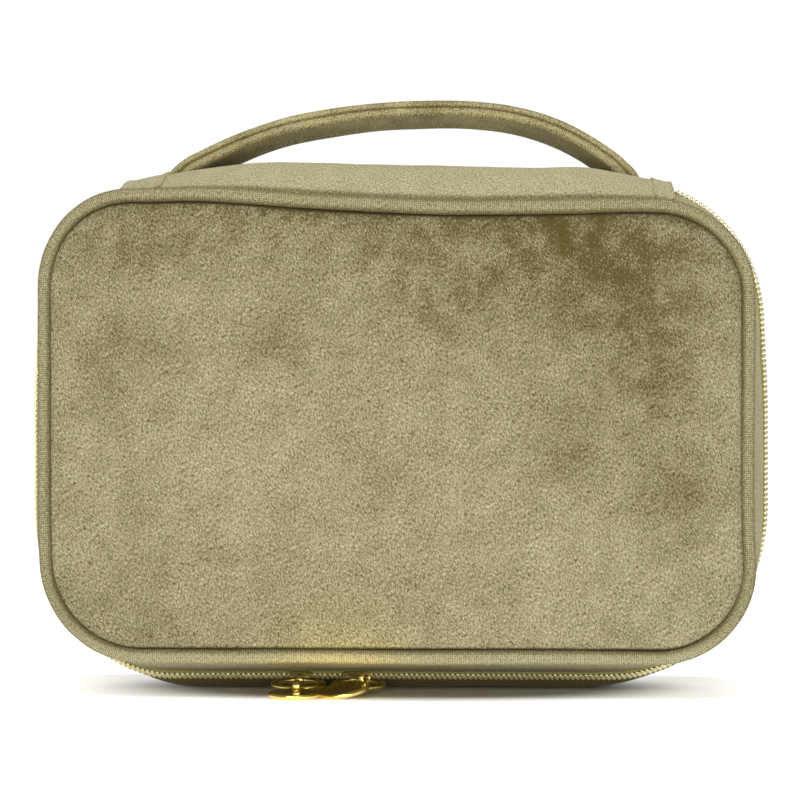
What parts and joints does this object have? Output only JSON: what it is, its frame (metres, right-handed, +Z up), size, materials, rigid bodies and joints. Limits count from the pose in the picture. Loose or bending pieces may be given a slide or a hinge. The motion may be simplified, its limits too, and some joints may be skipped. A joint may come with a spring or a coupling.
{
  "type": "makeup bag",
  "caption": "Zip-around velvet makeup bag with a hinged lid shell, piped front and back panels, a sewn strap handle and two zip sliders with ring and disc pulls.",
  "frame": {"origin": "centre of the bounding box's bottom face, on the surface the bag stands on", "axes": "+X to the right along the bag's length, -Y out of the front panel, +Z up to the handle"},
  "size_m": [0.23, 0.088, 0.1864],
  "materials": {
    "velvet": "short pile velvet, mottled nap",
    "velvet_piping": "velvet wrapped cord, fine cross ribs",
    "lining": "woven polyester lining",
    "elastic": "ribbed elastic tape",
    "foam": "soft padding foam",
    "board": "stiff polyethylene board",
    "zip_tape": "woven zip tape",
    "zip_coil": "metallised gold coil",
    "gold": "polished gold plate"
  },
  "bodies": {
    "base": {"back_panel": "velvet", "back_foam": "foam", "back_board": "board", "back_piping": "velvet_piping", "base_gusset": "velvet", "base_gusset_foam": "foam", "base_lining": "lining", "brush_band": "elastic", "spine_rear": "velvet", "base_zip_tape": "zip_tape", "base_zip_coil": "zip_coil", "zip_end_tab_left": "velvet", "zip_end_tab_right": "velvet", "handle_root_left": "velvet", "handle_root_right": "velvet"},
    "lid": {"front_panel": "velvet", "front_foam": "foam", "front_board": "board", "front_piping": "velvet_piping", "lid_gusset": "velvet", "lid_gusset_foam": "foam", "lid_lining": "lining", "slip_pocket": "lining", "spine_front": "velvet", "lid_zip_tape": "zip_tape", "lid_zip_coil": "zip_coil"},
    "handle": {"handle_cover": "velvet", "handle_webbing": "zip_tape"},
    "slider_left": {"slider_left": "gold"},
    "pull_ring_left": {"pull_ring_left": "gold"},
    "pull_disc_left": {"pull_disc_left": "gold"},
    "slider_right": {"slider_right": "gold"},
    "pull_ring_right": {"pull_ring_right": "gold"},
    "pull_disc_right": {"pull_disc_right": "gold"}
  },
  "joints": [
    {"name": "lid_hinge", "type": "hinge", "parent": "base", "child": "lid", "pos_m": [0, -0.008, 0.1654], "axis": [-1, 0, 0], "range_deg": [0, 100]},
    {"name": "handle_tilt", "type": "hinge", "parent": "base", "child": "handle", "pos_m": [0, 0.004, 0.1632], "axis": [-1, 0, 0], "range_deg": [-25, 25], "stiffness_Nm_per_rad": 0.03},
    {"name": "slider_left_travel", "type": "slide", "parent": "base", "child": "slider_left", "axis": [1, 0, 0], "range_m": [-0.028, 0]},
    {"name": "pull_ring_left_swing", "type": "hinge", "parent": "slider_left", "child": "pull_ring_left", "pos_m": [-0.0308, -0.0136, 0.0033], "axis": [-1, 0, 0], "range_deg": [-85, 8]},
    {"name": "pull_disc_left_swing", "type": "hinge", "parent": "pull_ring_left", "child": "pull_disc_left", "pos_m": [-0.0308, -0.02673, 0.0019], "axis": [-1, 0, 0], "range_deg": [-60, 18]},
    {"name": "slider_right_travel", "type": "slide", "parent": "base", "child": "slider_right", "axis": [1, 0, 0], "range_m": [0, 0.072]},
    {"name": "pull_ring_right_swing", "type": "hinge", "parent": "slider_right", "child": "pull_ring_right", "pos_m": [-0.0141, -0.0136, 0.0033], "axis": [-1, 0, 0], "range_deg": [-85, 8]},
    {"name": "pull_disc_right_swing", "type": "hinge", "parent": "pull_ring_right", "child": "pull_disc_right", "pos_m": [-0.0141, -0.02673, 0.0019], "axis": [-1, 0, 0], "range_deg": [-60, 18]}
  ]
}
